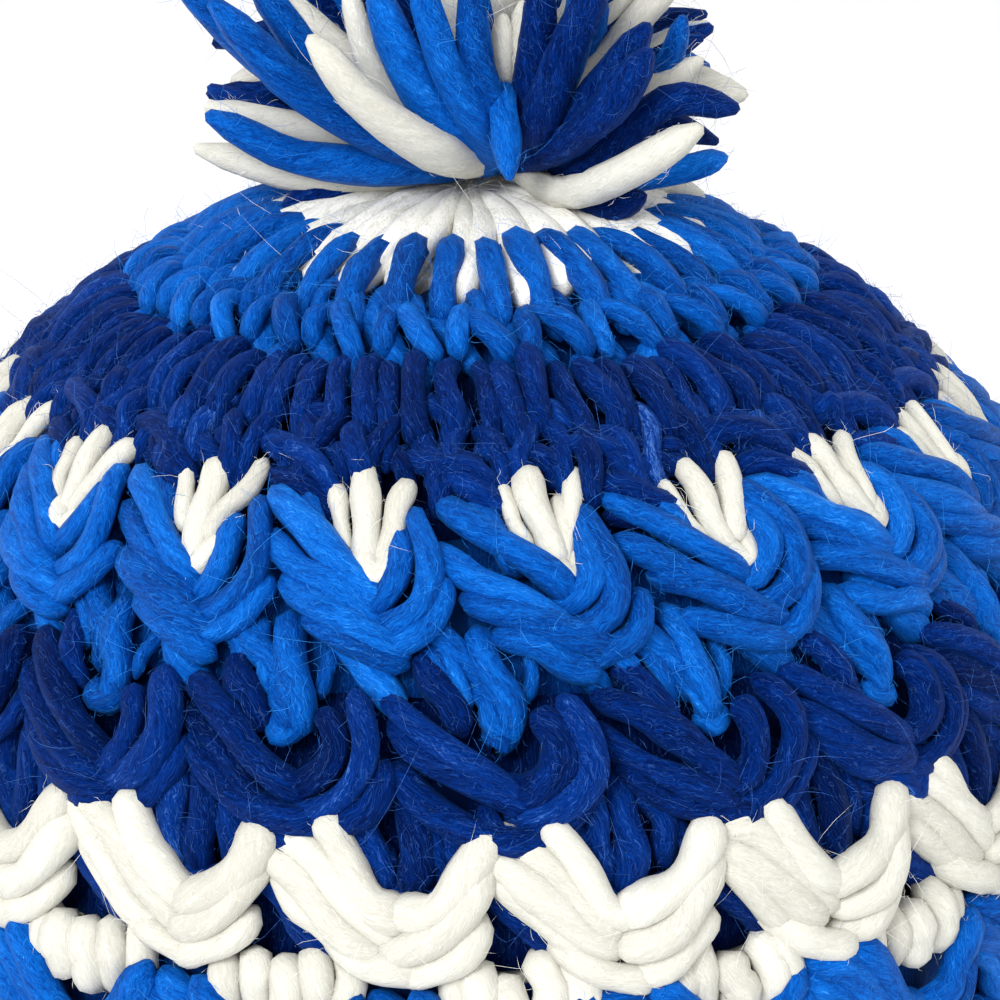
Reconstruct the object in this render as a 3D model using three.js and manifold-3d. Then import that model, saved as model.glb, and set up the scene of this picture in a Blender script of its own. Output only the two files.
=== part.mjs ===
// Chunky crocheted beanie with a pompom of loose strands, in millimetres, +Z up.
// The origin is the middle of the brim's resting face, and the photographed side looks along -Y.
// The hat is a dome of knitted rings, one for each row of yarn: every ring is a wall of one
// thickness, cut from its neighbours along the zigzag where one colour meets the next.

import * as THREE from "three";
import { mergeVertices } from "three/addons/utils/BufferGeometryUtils.js";
import Module from "manifold-3d";

// Driving dimensions
const WALL = 9; // thickness of the crocheted fabric
const GAP = 0.3; // clearance between two rings, measured along the dome
const REPEATS = 20; // shell motifs round the hat
const COLUMNS = 4 * REPEATS; // facets round a ring with motifs
const CROWN_COLUMNS = 48; // facets round the gathered crown: 24 folds
const TUFT_ANGLE = THREE.MathUtils.degToRad(9); // azimuth of the first white tuft from the front
const ROW_DRIFT = THREE.MathUtils.degToRad(1.1); // each lower row leans on by this much

// Outline of the dome's outside, from the middle of the crown to the brim
const PROFILE = [
  { r: 0, z: 160.5 },
  { r: 14, z: 159.2 },
  { r: 28, z: 156 },
  { r: 42, z: 151 },
  { r: 55, z: 144.6 },
  { r: 67, z: 136.5 },
  { r: 77.5, z: 127 },
  { r: 86.5, z: 115.5 },
  { r: 94, z: 102 },
  { r: 99, z: 87.5 },
  { r: 101.5, z: 72 },
  { r: 102.5, z: 56 },
  { r: 101.5, z: 38 },
  { r: 98.5, z: 18 },
  { r: 95, z: 0 },
];
const profile = new THREE.CatmullRomCurve3(
  PROFILE.map(({ r, z }) => new THREE.Vector3(r, 0, z)), false, "catmullrom", 0.5,
);
profile.arcLengthDivisions = 3000;
const RIM = profile.getLength();

// Where one ring ends and the next begins: distance from the middle of the crown along the dome,
// with the height and the place of the zigzag that the line makes once in each motif
const SEAM = {
  crown: { at: 33, wave: 2.5 },
  blue: { at: 58.5, wave: 0 },
  navy: { at: 84.5, wave: -3.5 },
  tuft: { at: 93.5, wave: 4 },
  shell: { at: 112.5, wave: -6.5, rows: 1 },
  cup: { at: 135.5, wave: 4.3, rows: 3 },
  zigzag: { at: 155, wave: -5, rows: 3 },
  lower: { at: 177, wave: 0 },
  plain: { at: 197, wave: 0 },
  rim: { at: RIM, wave: 0 },
};

// Relief of each ring, millimetres out of the dome. "down" is the share of the ring's height; the
// other columns are the lift under a tuft, to the right of it, between two tufts and to its left.
const RELIEF = {
  postsUpper: [
    { down: 0, crest: -0.6, trough: -1.2 },
    { down: 0.16, crest: 1.8, trough: 0 },
    { down: 0.55, crest: 2.2, trough: 0.2 },
    { down: 0.88, crest: 1.4, trough: 0.6 },
    { down: 1, crest: -0.6, trough: -0.8 },
  ],
  navyPosts: [
    { down: 0, tuft: -0.8, right: -0.6, between: -0.8, left: -0.6 },
    { down: 0.22, tuft: 2.4, right: 1.2, between: 2.4, left: 1.2 },
    { down: 0.72, tuft: 1.8, right: 0.9, between: 2.2, left: 0.9 },
    { down: 1, tuft: -1.8, right: -1.2, between: -1, left: -1.2 },
  ],
  tufts: [
    { down: 0, tuft: -1.8, right: -2.2, between: -2.6, left: -2.2 },
    { down: 0.3, tuft: 1.2, right: -0.6, between: -2.6, left: -0.6 },
    { down: 0.75, tuft: 0.6, right: -1.2, between: -2.6, left: -1.2 },
    { down: 1, tuft: -1.5, right: -2, between: -2.6, left: -2 },
  ],
  shells: [
    { down: 0, tuft: -0.6, right: 1, between: 0.4, left: 1.2 },
    { down: 0.2, tuft: 3.2, right: 4, between: 2.6, left: 3.8 },
    { down: 0.5, tuft: 4, right: 3.8, between: 2.4, left: 3.6 },
    { down: 0.78, tuft: 2.6, right: 1.6, between: 2.4, left: 1.6 },
    { down: 1, tuft: -1.2, right: -1, between: -0.8, left: -1 },
  ],
  cups: [
    { down: 0, tuft: 0.4, right: 0.6, between: -0.4, left: 0.8 },
    { down: 0.22, tuft: 2.6, right: 3.8, between: 3.4, left: 4 },
    { down: 0.52, tuft: 1.6, right: 4, between: 4.4, left: 4.2 },
    { down: 0.8, tuft: 1.4, right: 2.2, between: 3.4, left: 2.4 },
    { down: 1, tuft: -1, right: -0.6, between: -0.4, left: -0.6 },
  ],
  zigzag: [
    { down: 0, tuft: 0.2, right: 0.4, between: 0.2, left: 0.6 },
    { down: 0.3, tuft: 3.4, right: 3.8, between: 3.2, left: 3.8 },
    { down: 0.65, tuft: 2.2, right: 0.4, between: -0.6, left: 0.4 },
    { down: 1, tuft: 0, right: -0.4, between: -0.6, left: -0.4 },
  ],
  lowerShells: [
    { down: 0, tuft: 0.4, right: 0.6, between: -0.6, left: 0.8 },
    { down: 0.3, tuft: 2.8, right: 3.8, between: 3, left: 4 },
    { down: 0.65, tuft: 1.8, right: 2.8, between: 3.6, left: 3 },
    { down: 1, tuft: -0.8, right: -0.6, between: -0.6, left: -0.6 },
  ],
  plainPosts: [
    { down: 0, tuft: -0.8, right: -0.8, between: -0.8, left: -0.8 },
    { down: 0.5, tuft: 2, right: 0.4, between: 2, left: 0.4 },
    { down: 1, tuft: -0.8, right: -0.8, between: -0.8, left: -0.8 },
  ],
  brimRibs: [
    { down: 0, tuft: -0.8, right: -0.8, between: -0.8, left: -0.8 },
    { down: 0.5, tuft: 2, right: 0.2, between: 2, left: 0.2 },
    { down: 1, tuft: 0, right: 0, between: 0, left: 0 },
  ],
};
const MOTIF_COLUMNS = ["tuft", "right", "between", "left"];
const RIB_COLUMNS = ["crest", "trough"];

// Gathers of the crown: how far the folds stand out on each circle round the middle
const GATHERS = [
  { share: 0.2, fold: 0.5 },
  { share: 0.45, fold: 1.1 },
  { share: 0.75, fold: 1.5 },
  { share: 0.93, fold: 0.9 },
];

// Pompom: strands tied at one point on the crown, which spray out to a dome of tips
const POMPOM = {
  knot: new THREE.Vector3(5, 0, 163), // where all strands are tied
  footRadius: 11,
  footBottom: 161,
  coreRadius: 27, // the packed inner half of the strands
  coreHeight: 30,
  reach: 55, // from the knot to the tips
  locks: 44,
  lockRadius: 5.4,
  lowest: THREE.MathUtils.degToRad(6), // elevation of the lowest ring of locks
  droop: 7, // how far a level lock sags at its tip
};
const LOCK_SIDES = 5;
const GOLDEN_ANGLE = Math.PI * (3 - Math.sqrt(5));
const LOCK_FORM = [
  { along: 0.45, girth: 0.95 },
  { along: 0.8, girth: 1 },
  { along: 0.97, girth: 0.5 },
];

const COLOUR = {
  brightBlue: new THREE.Color(0x0f5fcd),
  navy: new THREE.Color(0x12347f),
  ivory: new THREE.Color(0xebe8dc),
};

// A point of the dome: the outline at that distance from the crown, lifted along its own normal
// and turned to that azimuth, which is counted from the front towards +X
function domePoint(azimuth, distance, lift) {
  const share = THREE.MathUtils.clamp(distance / RIM, 0, 1);
  const place = profile.getPointAt(share);
  const slope = profile.getTangentAt(share);
  const radius = Math.max(place.x - slope.z * lift, 0);
  const height = place.z + slope.x * lift;
  return [radius * Math.sin(azimuth), -radius * Math.cos(azimuth), height];
}

// Distance of a seam from the crown: a cosine that repeats with the motif, turned by the drift
function seamAt(seam, azimuth, count) {
  const turned = azimuth - TUFT_ANGLE - (seam.rows ?? 0) * ROW_DRIFT;
  return seam.at + seam.wave * Math.cos(count * turned);
}

// A closed surface from rows of points: row i of every column is joined to row i of the next
// column, and round the section when it is a loop, or to a single point where a cap begins or ends
function loopedSurface(columns) {
  const rows = columns[0].length;
  const index = [];
  columns.forEach((_, column) => {
    const here = column * rows;
    const next = ((column + 1) % columns.length) * rows;
    for (let row = 0; row < rows; row += 1) {
      const below = (row + 1) % rows;
      index.push(here + row, here + below, next + below);
      index.push(here + row, next + below, next + row);
    }
  });
  const geometry = new THREE.BufferGeometry();
  geometry.setAttribute("position", new THREE.Float32BufferAttribute(columns.flat(2), 3));
  geometry.setIndex(index);
  return geometry;
}

// One ring of the hat: relief rows down its outside, then the lower and the upper inner edge
function ringGeometry({ count, columns, upper, lower, relief, names, motifs }) {
  const sections = [];
  for (let column = 0; column < count; column += 1) {
    const azimuth = TUFT_ANGLE + (column / count) * 2 * Math.PI;
    const top = seamAt(upper, azimuth, motifs) + GAP / 2;
    const atRim = lower === SEAM.rim;
    const bottom = seamAt(lower, azimuth, motifs) - (atRim ? 0 : GAP / 2);
    const name = names[column % names.length];
    const section = relief.map((row) => (
      domePoint(azimuth, THREE.MathUtils.lerp(top, bottom, row.down), row[name])
    ));
    section.push(domePoint(azimuth, bottom, -WALL));
    section.push(domePoint(azimuth, top, -WALL));
    if (atRim) {
      section[relief.length - 1][2] = 0;
      section[relief.length][2] = 0;
    }
    sections.push(section);
  }
  return loopedSurface(sections);
}

// The gathered crown: a cap whose folds run out from its middle and deepen towards its edge
function crownGeometry() {
  const sections = [];
  for (let column = 0; column < CROWN_COLUMNS; column += 1) {
    const azimuth = TUFT_ANGLE + (column / CROWN_COLUMNS) * 2 * Math.PI;
    const edge = seamAt(SEAM.crown, azimuth, CROWN_COLUMNS / 2) - GAP / 2;
    const side = column % 2 === 0 ? 1 : -1;
    sections.push([
      domePoint(0, 0, 0),
      ...GATHERS.map(({ share, fold }) => domePoint(azimuth, share * edge, fold * side)),
      domePoint(azimuth, edge, -1),
      domePoint(azimuth, edge, -WALL),
      domePoint(azimuth, edge * 0.5, -WALL),
      domePoint(0, 0, -WALL),
    ]);
  }
  return closedCap(sections);
}

// A cap: the first and the last point of every column are the same two poles
function closedCap(columns) {
  const inner = columns[0].length - 2;
  const positions = [...columns[0][0], ...columns[0][inner + 1]];
  columns.forEach((column) => column.slice(1, -1).forEach((point) => positions.push(...point)));
  const index = [];
  columns.forEach((_, column) => {
    const here = 2 + column * inner;
    const next = 2 + ((column + 1) % columns.length) * inner;
    index.push(0, here, next);
    for (let row = 0; row < inner - 1; row += 1) {
      index.push(here + row, here + row + 1, next + row + 1);
      index.push(here + row, next + row + 1, next + row);
    }
    index.push(1, next + inner - 1, here + inner - 1);
  });
  const geometry = new THREE.BufferGeometry();
  geometry.setAttribute("position", new THREE.Float32BufferAttribute(positions, 3));
  geometry.setIndex(index);
  return geometry;
}

const wasm = await Module();
wasm.setup();

// A closed geometry as a solid that can be joined to another
function solid(geometry) {
  const bare = geometry.clone();
  bare.deleteAttribute("normal");
  bare.deleteAttribute("uv");
  const merged = mergeVertices(bare);
  return new wasm.Manifold(new wasm.Mesh({
    numProp: 3,
    vertProperties: new Float32Array(merged.attributes.position.array),
    triVerts: new Uint32Array(merged.index.array),
  }));
}

// A solid back as a geometry
function geometryOf(manifold) {
  const { vertProperties, triVerts } = manifold.getMesh();
  const geometry = new THREE.BufferGeometry();
  geometry.setAttribute("position", new THREE.Float32BufferAttribute(vertProperties, 3));
  geometry.setIndex([...triVerts]);
  return geometry;
}

// The packed inner half of the pompom on the foot that sits on the crown, turned about the knot
function pompomCore() {
  const { footRadius, footBottom, coreRadius, coreHeight, knot } = POMPOM;
  const outline = [
    new THREE.Vector2(0, footBottom),
    new THREE.Vector2(footRadius, footBottom),
    new THREE.Vector2(footRadius + 6, footBottom + 4),
  ];
  const steps = 5;
  for (let step = 0; step < steps; step += 1) {
    const angle = (step / steps) * (Math.PI / 2);
    const height = footBottom + 9 + coreHeight * Math.sin(angle);
    outline.push(new THREE.Vector2(coreRadius * Math.cos(angle), height));
  }
  outline.push(new THREE.Vector2(0, footBottom + 9 + coreHeight));
  const core = new THREE.LatheGeometry(outline, 16);
  core.rotateX(Math.PI / 2);
  core.translate(knot.x, knot.y, 0);
  return core;
}

// One lock: a tapering tube of six sides along a path that leaves the knot and sags with its span
function lockGeometry(azimuth, elevation, reach, girth) {
  const { knot, droop } = POMPOM;
  const level = Math.cos(elevation);
  const pathPoint = (along) => new THREE.Vector3(
    knot.x + Math.sin(azimuth) * level * reach * along,
    knot.y - Math.cos(azimuth) * level * reach * along,
    knot.z + Math.sin(elevation) * reach * along
      + droop * level * (along - 1.5 * along * along),
  );
  const across = new THREE.Vector3(Math.cos(azimuth), Math.sin(azimuth), 0);
  const sections = [];
  for (let side = 0; side < LOCK_SIDES; side += 1) {
    const turn = (side / LOCK_SIDES) * 2 * Math.PI;
    const rings = LOCK_FORM.map(({ along, girth: share }) => {
      const middle = pathPoint(along);
      const ahead = pathPoint(along + 0.01).sub(middle).normalize();
      const outward = new THREE.Vector3().crossVectors(ahead, across);
      return middle
        .addScaledVector(across, Math.cos(turn) * girth * share)
        .addScaledVector(outward, Math.sin(turn) * girth * share)
        .toArray();
    });
    sections.push([pathPoint(1).toArray(), ...rings.reverse(), pathPoint(0.3).toArray()]);
  }
  return closedCap(sections);
}

// Locks on a golden-angle spray over the half sphere above the knot, fused to the core
function pompomGeometry() {
  const { locks, lowest, reach, lockRadius } = POMPOM;
  let pompom = solid(pompomCore());
  for (let lock = 0; lock < locks; lock += 1) {
    const height = Math.sin(lowest) + ((lock + 0.5) / locks) * (1 - Math.sin(lowest));
    const elevation = Math.asin(height);
    const azimuth = lock * GOLDEN_ANGLE;
    const length = reach * (1 + 0.1 * Math.sin(2.7 * lock));
    const girth = lockRadius * (1 + 0.15 * Math.cos(1.9 * lock));
    pompom = pompom.add(solid(lockGeometry(azimuth, elevation, length, girth)));
  }
  // The closed pockets left between neighbouring locks are filled: only the outer skin is kept
  const skins = pompom.decompose();
  const outer = skins.reduce((best, skin) => (skin.volume() > best.volume() ? skin : best));
  return geometryOf(outer);
}

function wool(colour) {
  return new THREE.MeshStandardMaterial({ color: colour, roughness: 0.9, metalness: 0 });
}

const motif = { count: COLUMNS, names: MOTIF_COLUMNS, motifs: REPEATS };
const ROWS = [
  {
    name: "upper_blue_row", colour: COLOUR.brightBlue, upper: SEAM.crown, lower: SEAM.blue,
    relief: RELIEF.postsUpper, count: CROWN_COLUMNS, names: RIB_COLUMNS, motifs: CROWN_COLUMNS / 2,
  },
  {
    name: "upper_navy_row", colour: COLOUR.navy, upper: SEAM.blue, lower: SEAM.navy,
    relief: RELIEF.navyPosts, ...motif,
  },
  {
    name: "white_tuft_row", colour: COLOUR.ivory, upper: SEAM.navy, lower: SEAM.tuft,
    relief: RELIEF.tufts, ...motif,
  },
  {
    name: "blue_shell_row", colour: COLOUR.brightBlue, upper: SEAM.tuft, lower: SEAM.shell,
    relief: RELIEF.shells, ...motif,
  },
  {
    name: "navy_shell_row", colour: COLOUR.navy, upper: SEAM.shell, lower: SEAM.cup,
    relief: RELIEF.cups, ...motif,
  },
  {
    name: "white_zigzag_row", colour: COLOUR.ivory, upper: SEAM.cup, lower: SEAM.zigzag,
    relief: RELIEF.zigzag, ...motif,
  },
  {
    name: "lower_blue_row", colour: COLOUR.brightBlue, upper: SEAM.zigzag, lower: SEAM.lower,
    relief: RELIEF.lowerShells, ...motif,
  },
  {
    name: "lower_navy_row", colour: COLOUR.navy, upper: SEAM.lower, lower: SEAM.plain,
    relief: RELIEF.plainPosts, ...motif,
  },
  {
    name: "brim", colour: COLOUR.brightBlue, upper: SEAM.plain, lower: SEAM.rim,
    relief: RELIEF.brimRibs, ...motif,
  },
];

const beanie = new THREE.Group();

function addPiece(name, geometry, colour) {
  const piece = new THREE.Mesh(geometry, wool(colour));
  piece.name = name;
  beanie.add(piece);
}

addPiece("crown", crownGeometry(), COLOUR.ivory);
ROWS.forEach(({ name, colour, ...ring }) => addPiece(name, ringGeometry(ring), colour));
addPiece("pompom", pompomGeometry(), COLOUR.brightBlue);

export default beanie;
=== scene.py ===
"""Looks of a chunky crocheted beanie with a pompom.

Every row of the hat is a mesh of yarn: charts give the way of each strand over one motif, in
stitch space, and the motif is laid round the dome. Stray wool fibres stand off each strand.
Shapes are worked out in millimetres and put into the meshes in metres."""

import bpy
import numpy as np
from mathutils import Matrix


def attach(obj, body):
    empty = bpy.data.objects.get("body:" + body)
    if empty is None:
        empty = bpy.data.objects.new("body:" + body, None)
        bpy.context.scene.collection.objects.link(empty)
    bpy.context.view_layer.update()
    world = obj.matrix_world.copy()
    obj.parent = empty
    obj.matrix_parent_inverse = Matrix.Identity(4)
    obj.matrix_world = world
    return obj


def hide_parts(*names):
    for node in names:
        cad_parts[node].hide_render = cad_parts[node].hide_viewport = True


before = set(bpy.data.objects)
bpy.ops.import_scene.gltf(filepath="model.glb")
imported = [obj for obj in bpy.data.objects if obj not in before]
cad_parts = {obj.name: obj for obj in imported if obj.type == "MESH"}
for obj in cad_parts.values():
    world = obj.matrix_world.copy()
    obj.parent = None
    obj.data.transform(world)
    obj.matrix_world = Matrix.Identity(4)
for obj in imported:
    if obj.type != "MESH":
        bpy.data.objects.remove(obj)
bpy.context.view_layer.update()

MM = 0.001
random = np.random.default_rng(2107)

# Dome and motifs, the same driving dimensions as the solids have
WALL = 9.0
MOTIFS = 20
TUFT_ANGLE = np.radians(9)  # from the front to the middle of the first tuft
ROW_RADIUS = 95
ROW_GIRTH = 2 * np.pi * ROW_RADIUS
PROFILE = np.array([
    (0, 160.5), (14, 159.2), (28, 156), (42, 151), (55, 144.6), (67, 136.5), (77.5, 127),
    (86.5, 115.5), (94, 102), (99, 87.5), (101.5, 72), (102.5, 56), (101.5, 38), (98.5, 18), (95, 0),
], float)

# Yarn
YARN_RADIUS = 2.15
YARN_SIDES = 7
ROUND_SIDES = 10  # of the ivory strands, whose edges show most
RIDGE = 0.03  # how far the fibre bundles stand out, as a share of the radius
POLE_REACH = 0.6  # how far the tip of a tube stands past its last ring, as a share of that ring
FIBRE_TWIST = 0.13  # turn of the fibres round the yarn, radians for each millimetre
FIBRE_SHIFT = 40  # millimetres along the fibres from one strand to the next, for each radian
FIBRE_SIDES = 3
GROUND_PAINTED_SHADE = -3.0  # painted shade: the ground between the strands is coloured darker than they are, for the shade in the gaps
# painted shade: the cap under the crown's gathers is coloured a little darker than they are
CAP_PAINTED_SHADE = -0.4
CROWN_PAINTED_LIGHT = 5.0  # painted light: the gathers lie in the pompom's shade, so their colour is made paler to lift it

# How far each copy of a strand departs from its chart: as a whole, and in waves along it
OWN_PLACE = 0.35
OWN_DROP = 0.45
OWN_THICKNESS = 0.09
WANDER_ACROSS = 0.4
WANDER_DOWN = 0.45
WANDER_LIFT = 0.28
WANDER_THICKNESS = 0.08


def catmull(points, count):
    """Smooth curve through points (..., n, d): each span blends its two ends and their two
    neighbours with cubic weights, and the neighbours past the ends are mirrored."""
    first = 2 * points[..., :1, :] - points[..., 1:2, :]
    last = 2 * points[..., -1:, :] - points[..., -2:-1, :]
    padded = np.concatenate([first, points, last], axis=-2)
    spans = points.shape[-2] - 1
    place = np.linspace(0, spans, count)
    span = np.minimum(place.astype(int), spans - 1)
    t = (place - span)[:, None]
    a, b, c, d = (padded[..., span + k, :] for k in range(4))
    return 0.5 * (2 * b + (c - a) * t + (2 * a - 5 * b + 4 * c - d) * t**2
                  + (3 * b - a - 3 * c + d) * t**3)


# The outline as a fine curve of radius and height, the distance along it and its outward normal
OUTLINE = catmull(PROFILE, 2000)
STEPS = np.hypot(*np.diff(OUTLINE, axis=0).T)
REACH = np.concatenate([[0], np.cumsum(STEPS)])
RIM = REACH[-1]
SLOPE = np.gradient(OUTLINE, REACH, axis=0)
OUTWARD = np.stack([-SLOPE[:, 1], SLOPE[:, 0]], axis=1)
OUTWARD /= np.linalg.norm(OUTWARD, axis=1)[:, None]


def around(azimuth, radius, height):
    """Point at that azimuth from the front towards +X, that far from the axis."""
    azimuth, radius, height = np.broadcast_arrays(azimuth, radius, height)
    return np.stack([radius * np.sin(azimuth), -radius * np.cos(azimuth), height], axis=-1)


def dome(azimuth, distance, lift):
    """Outline point at that distance from the middle of the crown, pushed out along the
    outline's normal by lift and turned to the azimuth."""
    radius = np.interp(distance, REACH, OUTLINE[:, 0]) + lift * np.interp(distance, REACH, OUTWARD[:, 0])
    height = np.interp(distance, REACH, OUTLINE[:, 1]) + lift * np.interp(distance, REACH, OUTWARD[:, 1])
    return around(azimuth, radius, height)


def dome_normal(azimuth, distance):
    """Unit normal of the dome at that azimuth and distance."""
    return around(azimuth, np.interp(distance, REACH, OUTWARD[:, 0]),
                  np.interp(distance, REACH, OUTWARD[:, 1]))


def unit(vectors):
    """Vectors divided by their lengths."""
    return vectors / np.maximum(np.linalg.norm(vectors, axis=-1, keepdims=True), 1e-9)


class Surface:
    """Vertices, faces, shading and the two wool attributes of a piece, collected as arrays."""

    def __init__(self):
        self.vertices, self.quads, self.triangles, self.fibre, self.tone = [], [], [], [], []
        self.smooth_quads, self.smooth_triangles = [], []
        self.size = 0

    def add(self, vertices, quads, triangles, fibre, tone, smooth=True):
        """Appends arrays; the faces count from the first of these vertices."""
        self.vertices.append(vertices)
        self.quads.append(quads + self.size)
        self.triangles.append(triangles + self.size)
        self.smooth_quads.append(np.full(len(quads), smooth))
        self.smooth_triangles.append(np.full(len(triangles), smooth))
        self.fibre.append(fibre)
        self.tone.append(tone)
        self.size += len(vertices)

    def piece(self, name, material, node):
        """A mesh object of everything collected, riding on the root body in the node's place.
        Yarn is shaded smooth and stray fibres flat."""
        vertices = np.concatenate(self.vertices) * MM
        vertices[:, 2] = np.maximum(vertices[:, 2], 0)
        quads = np.concatenate(self.quads)
        triangles = np.concatenate(self.triangles)
        corners = np.concatenate([quads.ravel(), triangles.ravel()]).astype(np.int32)
        starts = np.concatenate([
            np.arange(len(quads)) * 4, len(quads) * 4 + np.arange(len(triangles)) * 3,
        ]).astype(np.int32)
        mesh = bpy.data.meshes.new(name)
        mesh.vertices.add(len(vertices))
        mesh.vertices.foreach_set("co", vertices.astype(np.float32).ravel())
        mesh.loops.add(len(corners))
        mesh.loops.foreach_set("vertex_index", corners)
        mesh.polygons.add(len(starts))
        mesh.polygons.foreach_set("loop_start", starts)
        smooth = np.concatenate(self.smooth_quads + self.smooth_triangles)
        mesh.polygons.foreach_set("use_smooth", smooth)
        mesh.update(calc_edges=True)
        fibre = mesh.attributes.new("fibre", "FLOAT_VECTOR", "POINT")
        fibre.data.foreach_set("vector", np.concatenate(self.fibre).astype(np.float32).ravel())
        tone = mesh.attributes.new("tone", "FLOAT", "POINT")
        tone.data.foreach_set("value", np.concatenate(self.tone).astype(np.float32))
        mesh.materials.append(material)
        made = bpy.data.objects.new(name, mesh)
        bpy.context.scene.collection.objects.link(made)
        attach(made, "root")
        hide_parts(node)


def tube_faces(count, rings, sides):
    """Quads between neighbouring rings and triangles to the two poles, for count closed tubes
    whose vertices come as rings first and the start and end pole last."""
    ring = np.arange(rings - 1)[:, None] * sides
    side = np.arange(sides)[None, :]
    ahead = (side + 1) % sides
    quads = np.stack([ring + side, ring + ahead, ring + sides + ahead, ring + sides + side], axis=-1)
    side, ahead = side[0], ahead[0]
    start, end = rings * sides, rings * sides + 1
    last = (rings - 1) * sides
    caps = np.concatenate([
        np.stack([np.full(sides, start), ahead, side], axis=-1),
        np.stack([np.full(sides, end), last + side, last + ahead], axis=-1),
    ])
    shift = np.arange(count)[:, None, None] * (rings * sides + 2)
    quads = (quads.reshape(1, -1, 4) + shift).reshape(-1, 4)
    return quads, (caps[None] + shift).reshape(-1, 3)


def tubes(surface, paths, normals, radii, sides, tone, ridge=0.0):
    """Closed tubes along paths (n, m, 3): at each point a ring of the given radius across the
    path's tangent, starting from the side of the normal, with a pole at each end. The radius
    swells by ridge (sin 3a + 0.7 sin 5a) round the ring, where a turns with the twist. The fibre
    attribute is the ring's place in that turned frame, and the length along the path."""
    count, rings = paths.shape[:2]
    tangent = unit(np.gradient(paths, axis=1))
    across = unit(np.cross(tangent, normals))
    outward = np.cross(across, tangent)
    angle = np.arange(sides) * 2 * np.pi / sides
    along = np.linalg.norm(np.diff(paths, axis=1), axis=2).cumsum(axis=1)
    along = np.concatenate([np.zeros((count, 1)), along], axis=1)
    phase = random.uniform(0, 2 * np.pi, (count, 1))
    turned = angle[None, None] + (FIBRE_TWIST * along + phase)[..., None]
    swell = 1 + ridge * (np.sin(3 * turned) + 0.7 * np.sin(5 * turned + 1.3 * phase[..., None]))
    size = radii[..., None] * swell
    ring = (paths[:, :, None] + (size * np.cos(angle))[..., None] * outward[:, :, None]
            + (size * np.sin(angle))[..., None] * across[:, :, None])
    poles = np.stack([
        paths[:, 0] - POLE_REACH * radii[:, :1] * tangent[:, 0],
        paths[:, -1] + POLE_REACH * radii[:, -1:] * tangent[:, -1],
    ], axis=1)
    spread = np.broadcast_to(radii[..., None], turned.shape)
    fibre = np.stack([
        spread * np.cos(turned), spread * np.sin(turned),
        np.broadcast_to(along[..., None], turned.shape) + FIBRE_SHIFT * phase[..., None],
    ], axis=-1)
    fibre_poles = np.zeros((count, 2, 3))
    fibre_poles[:, 0, 2] = FIBRE_SHIFT * phase[:, 0]
    fibre_poles[:, 1, 2] = along[:, -1] + FIBRE_SHIFT * phase[:, 0]
    vertices = np.concatenate([ring.reshape(count, -1, 3), poles], axis=1).reshape(-1, 3)
    fibre = np.concatenate([fibre.reshape(count, -1, 3), fibre_poles], axis=1).reshape(-1, 3)
    quads, caps = tube_faces(count, rings, sides)
    tones = np.repeat(np.broadcast_to(tone, (count,)), rings * sides + 2)
    surface.add(vertices, quads, caps, fibre, tones)


def taper(rings, start=0.35, end=0.35, reach=0.17):
    """Share of the full radius along a strand: over the reach it grows from the start's share to
    the whole as a quarter of an ellipse does, and it falls to the end's share in the same way."""
    place = np.linspace(0, 1, rings)
    short = 1 - np.clip(np.stack([place, 1 - place]) / reach, 0, 1)
    share = np.array([[start], [end]])
    return np.prod(share + (1 - share) * np.sqrt(1 - short**2), axis=0)


def wander(count, rings, amount, waves=3):
    """A smooth random walk for each strand: a curve through a few random values."""
    knots = random.normal(0, amount, (count, waves + 1, 1))
    return catmull(knots, rings)[..., 0]


def fibres(surface, paths, widths, tone):
    """Thin closed spindles along paths (n, m, 3): three-sided rings at the inner points, and a
    sharp pole at each end."""
    count, rings = len(paths), paths.shape[1] - 2
    tangent = unit(paths[:, 2:] - paths[:, :-2])
    across = unit(np.cross(tangent, random.normal(0, 1, (count, 1, 3))))
    other = np.cross(tangent, across)
    angle = np.arange(FIBRE_SIDES) * 2 * np.pi / FIBRE_SIDES
    offset = np.cos(angle)[:, None] * across[:, :, None] - np.sin(angle)[:, None] * other[:, :, None]
    ring = paths[:, 1:-1, None] + widths[:, None, None, None] * offset
    poles = paths[:, [0, -1]]
    vertices = np.concatenate([ring.reshape(count, -1, 3), poles], axis=1).reshape(-1, 3)
    quads, caps = tube_faces(count, rings, FIBRE_SIDES)
    surface.add(vertices, quads, caps, vertices, np.full(len(vertices), tone), smooth=False)


def stray(frames, count, points, length, stand, curl):
    """Paths of stray wool: each fibre starts in the skin of a strand, runs along it at a slant,
    lifts off on an arc and curls sideways, u - u²/4 along, 1.6u - 0.9u² up, and u² and a sine
    of 5u to the side."""
    paths, tangent, across, outward, radii = frames
    strands, rings = paths.shape[:2]
    strand = random.integers(0, strands, count)
    ring = random.integers(1, rings - 1, count)
    angle = random.normal(0, 1.2, (count, 1))
    along = tangent[strand, ring]
    skin = np.cos(angle) * outward[strand, ring] + np.sin(angle) * across[strand, ring]
    side = np.cross(along, skin)
    way = np.where(random.random((count, 1)) < 0.5, -1, 1)
    heading = unit(along * way + random.normal(0.3, 0.7, (count, 1)) * side)
    reach = length * np.clip(random.lognormal(0, 0.4, (count, 1)), 0.4, 2.0)
    lift = stand * np.clip(np.abs(random.normal(0, 1, (count, 1))), 0.1, 2.2)
    bend = random.normal(0, curl, (count, 1)) * reach
    wave = random.normal(0, 0.2 * curl, (count, 1)) * reach
    phase = random.uniform(0, 2 * np.pi, (count, 1))
    start = paths[strand, ring] + skin * radii[strand, ring][:, None] * 0.96
    steps = np.linspace(0, 1, points)
    return np.stack([
        start + heading * reach * (u - 0.25 * u * u) + skin * lift * (1.6 * u - 0.9 * u * u)
        + np.cross(heading, skin) * (bend * u * u + wave * (np.sin(5 * u + phase) - np.sin(phase)))
        for u in steps
    ], axis=1)
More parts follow.
